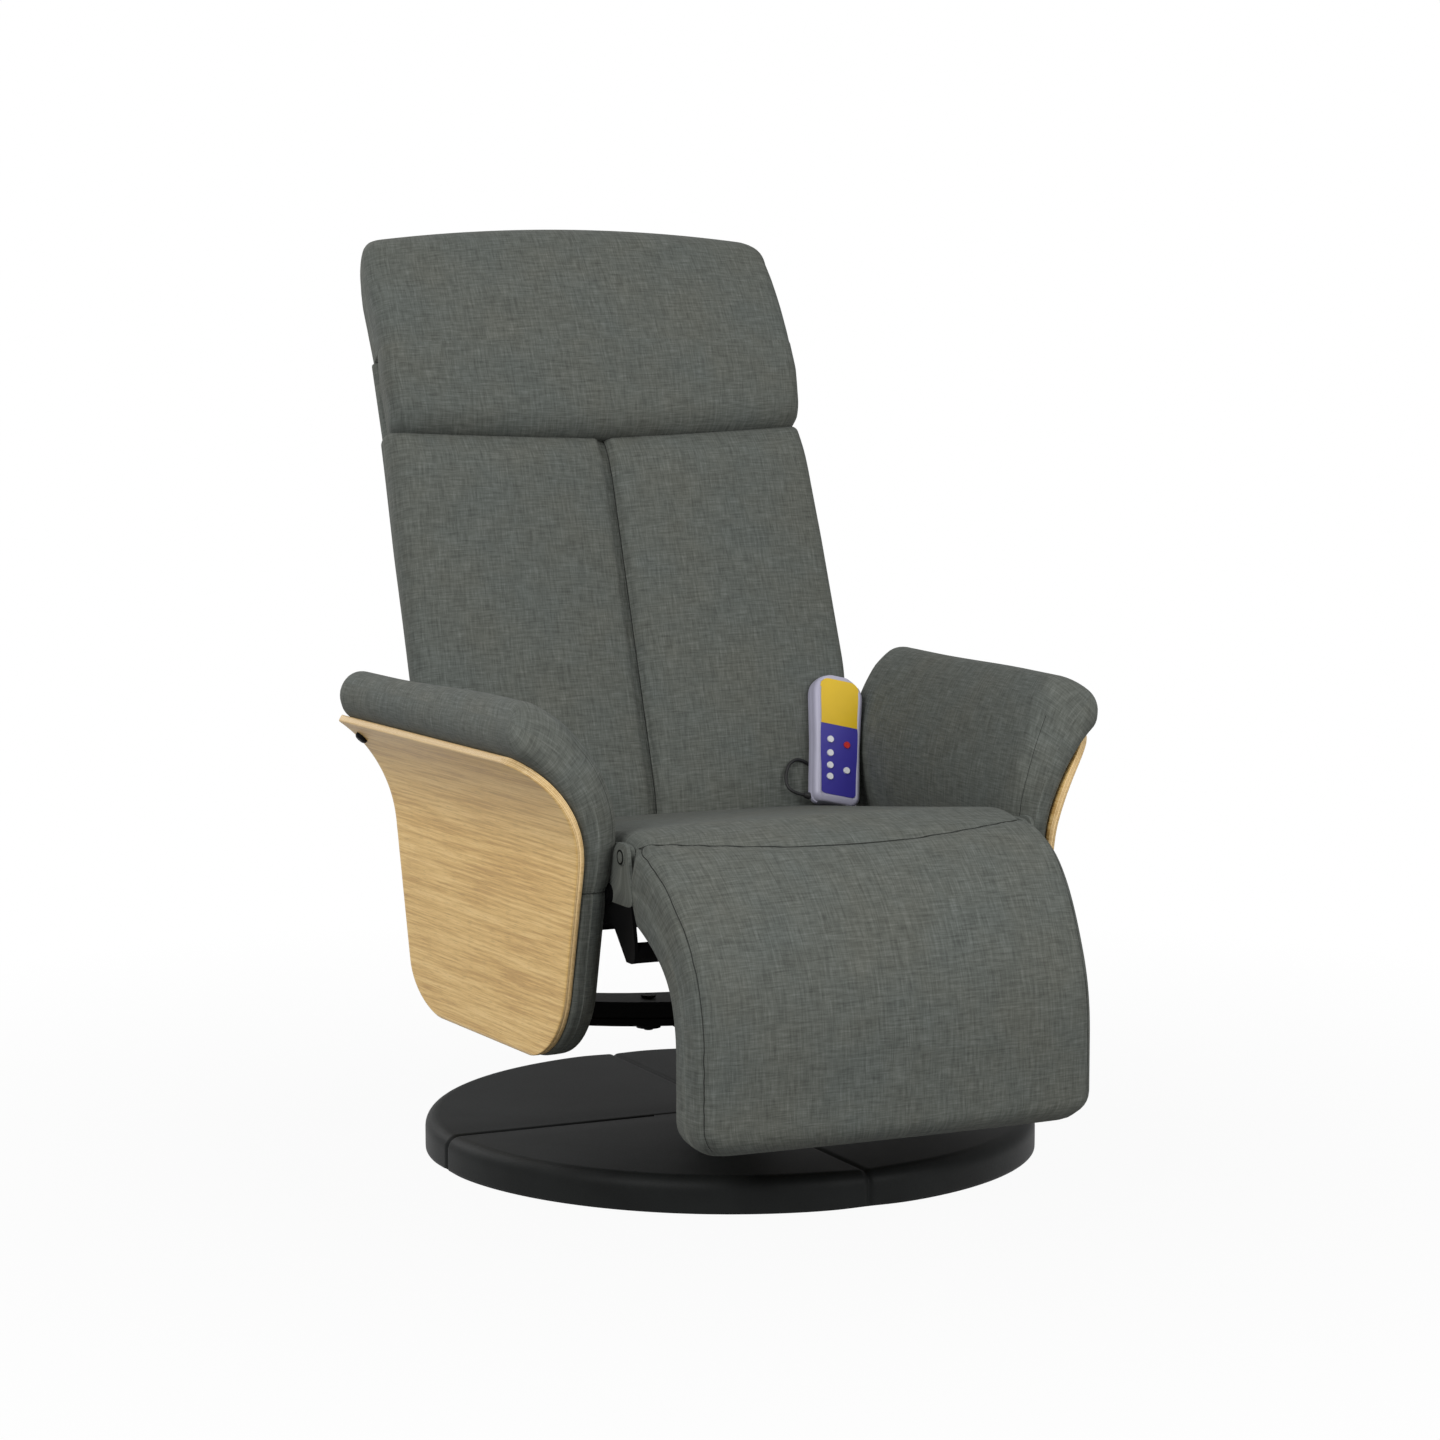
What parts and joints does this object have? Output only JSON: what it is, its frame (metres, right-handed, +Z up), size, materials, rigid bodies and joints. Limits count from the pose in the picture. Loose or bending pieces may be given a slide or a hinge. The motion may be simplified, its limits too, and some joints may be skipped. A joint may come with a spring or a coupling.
{
  "type": "massage recliner chair",
  "caption": "Swivelling massage recliner with padded back and headrest, bent-oak arms, hanging footrest linked to the recline, round base and corded handset.",
  "frame": {"origin": "on the floor at the swivel axis, centre of the round base", "axes": "+Z up, -Y towards the front of the chair, +X to the right as seen from the front"},
  "size_m": [0.7656, 0.9671, 1.0538],
  "materials": {
    "black_steel": "satin black powder coat",
    "oak": "clear satin lacquer on bent oak ply",
    "linen": "mottled grey woven upholstery",
    "plywood": "raw plywood",
    "black_leather": "black faux leather, fine grain",
    "floor_pad": "black felt",
    "black_plastic": "moulded, matte",
    "cord_rubber": "matte black sheath",
    "handset_shell": "fine-textured lavender grey moulding",
    "keypad": "blue-violet overlay",
    "display": "yellow overlay",
    "circuit_board": "green laminate",
    "white_button": "polished white",
    "red_button": "polished red"
  },
  "bodies": {
    "base": {"base_floor_pad": "floor_pad", "base_board": "plywood", "base_cover": "black_leather", "swivel_post": "black_steel", "swivel_post_bolts": "black_steel", "swivel_thrust_bearing": "black_plastic"},
    "chair_frame": {"swivel_hub": "black_steel", "hub_bolts": "black_steel", "crossbar": "black_steel", "crossbar_strap": "black_steel", "crossbar_bolts": "black_steel", "left_crossbar_end_plate": "black_steel", "right_crossbar_end_plate": "black_steel", "crossbar_end_bolts": "black_steel", "left_arm_panel": "oak", "right_arm_panel": "oak", "left_arm_pad": "linen", "right_arm_pad": "linen", "flare_bolts": "black_steel", "arm_spacers": "black_steel", "left_seat_rail": "black_steel", "right_seat_rail": "black_steel", "cord_grommet": "cord_rubber", "front_cross_tube": "black_steel", "rear_cross_tube": "black_steel", "seat_board": "plywood", "control_box": "black_plastic", "power_inlet": "black_plastic", "seat_cushion": "linen", "seat_motors": "black_plastic", "back_pivot_bolts": "black_steel", "footrest_pivot_bolts": "black_steel", "handset_rear_shell": "handset_shell", "handset_front_shell": "handset_shell", "handset_keypad": "keypad", "handset_display": "display", "handset_circuit_board": "circuit_board", "handset_strain_relief": "cord_rubber", "handset_cord": "cord_rubber"},
    "backrest": {"back_cushion": "linen", "back_motors": "black_plastic", "headrest_cushion": "linen", "headrest_motors": "black_plastic", "back_board": "plywood", "back_rear_cover": "linen", "left_back_bracket": "black_steel", "right_back_bracket": "black_steel"},
    "footrest": {"footrest_board": "plywood", "left_footrest_ear": "black_steel", "right_footrest_ear": "black_steel", "footrest_cross_tube": "black_steel", "footrest_cushion": "linen"},
    "drive_links": {"left_drive_link": "black_steel", "right_drive_link": "black_steel"},
    "power_button": {"power_button": "red_button"},
    "intensity_button": {"intensity_button": "white_button"},
    "head_button": {"head_button": "white_button"},
    "back_button": {"back_button": "white_button"},
    "seat_button": {"seat_button": "white_button"},
    "mode_button": {"mode_button": "white_button"}
  },
  "joints": [
    {"name": "swivel", "type": "hinge", "parent": "base", "child": "chair_frame", "pos_m": [0, 0, 0.1], "axis": [0, 0, 1], "continuous": true},
    {"name": "recline", "type": "hinge", "parent": "chair_frame", "child": "backrest", "pos_m": [0, 0.252, 0.33], "axis": [-1, 0, 0], "range_deg": [0, 36]},
    {"name": "footrest_swing", "type": "hinge", "parent": "chair_frame", "child": "footrest", "pos_m": [0, -0.253, 0.384], "axis": [-1, 0, 0], "range_deg": [0, 61.2]},
    {"name": "link_turn", "type": "hinge", "parent": "footrest", "child": "drive_links", "pos_m": [0, -0.21929, 0.34054], "axis": [-1, 0, 0], "range_deg": [-61.2, 0]},
    {"name": "power_button_press", "type": "slide", "parent": "chair_frame", "child": "power_button", "axis": [-0.0879, 0.9205, -0.3807], "range_m": [0, 0.0008], "stiffness_N_per_m": 400, "springref_m": -0.0005},
    {"name": "intensity_button_press", "type": "slide", "parent": "chair_frame", "child": "intensity_button", "axis": [-0.0879, 0.9205, -0.3807], "range_m": [0, 0.0008], "stiffness_N_per_m": 400, "springref_m": -0.0005},
    {"name": "head_button_press", "type": "slide", "parent": "chair_frame", "child": "head_button", "axis": [-0.0879, 0.9205, -0.3807], "range_m": [0, 0.0008], "stiffness_N_per_m": 400, "springref_m": -0.0005},
    {"name": "back_button_press", "type": "slide", "parent": "chair_frame", "child": "back_button", "axis": [-0.0879, 0.9205, -0.3807], "range_m": [0, 0.0008], "stiffness_N_per_m": 400, "springref_m": -0.0005},
    {"name": "seat_button_press", "type": "slide", "parent": "chair_frame", "child": "seat_button", "axis": [-0.0879, 0.9205, -0.3807], "range_m": [0, 0.0008], "stiffness_N_per_m": 400, "springref_m": -0.0005},
    {"name": "mode_button_press", "type": "slide", "parent": "chair_frame", "child": "mode_button", "axis": [-0.0879, 0.9205, -0.3807], "range_m": [0, 0.0008], "stiffness_N_per_m": 400, "springref_m": -0.0005}
  ],
  "couplings": [
    {"joint": "footrest_swing", "follows": "recline", "ratio": 1.7},
    {"joint": "link_turn", "follows": "recline", "ratio": -1.7}
  ]
}
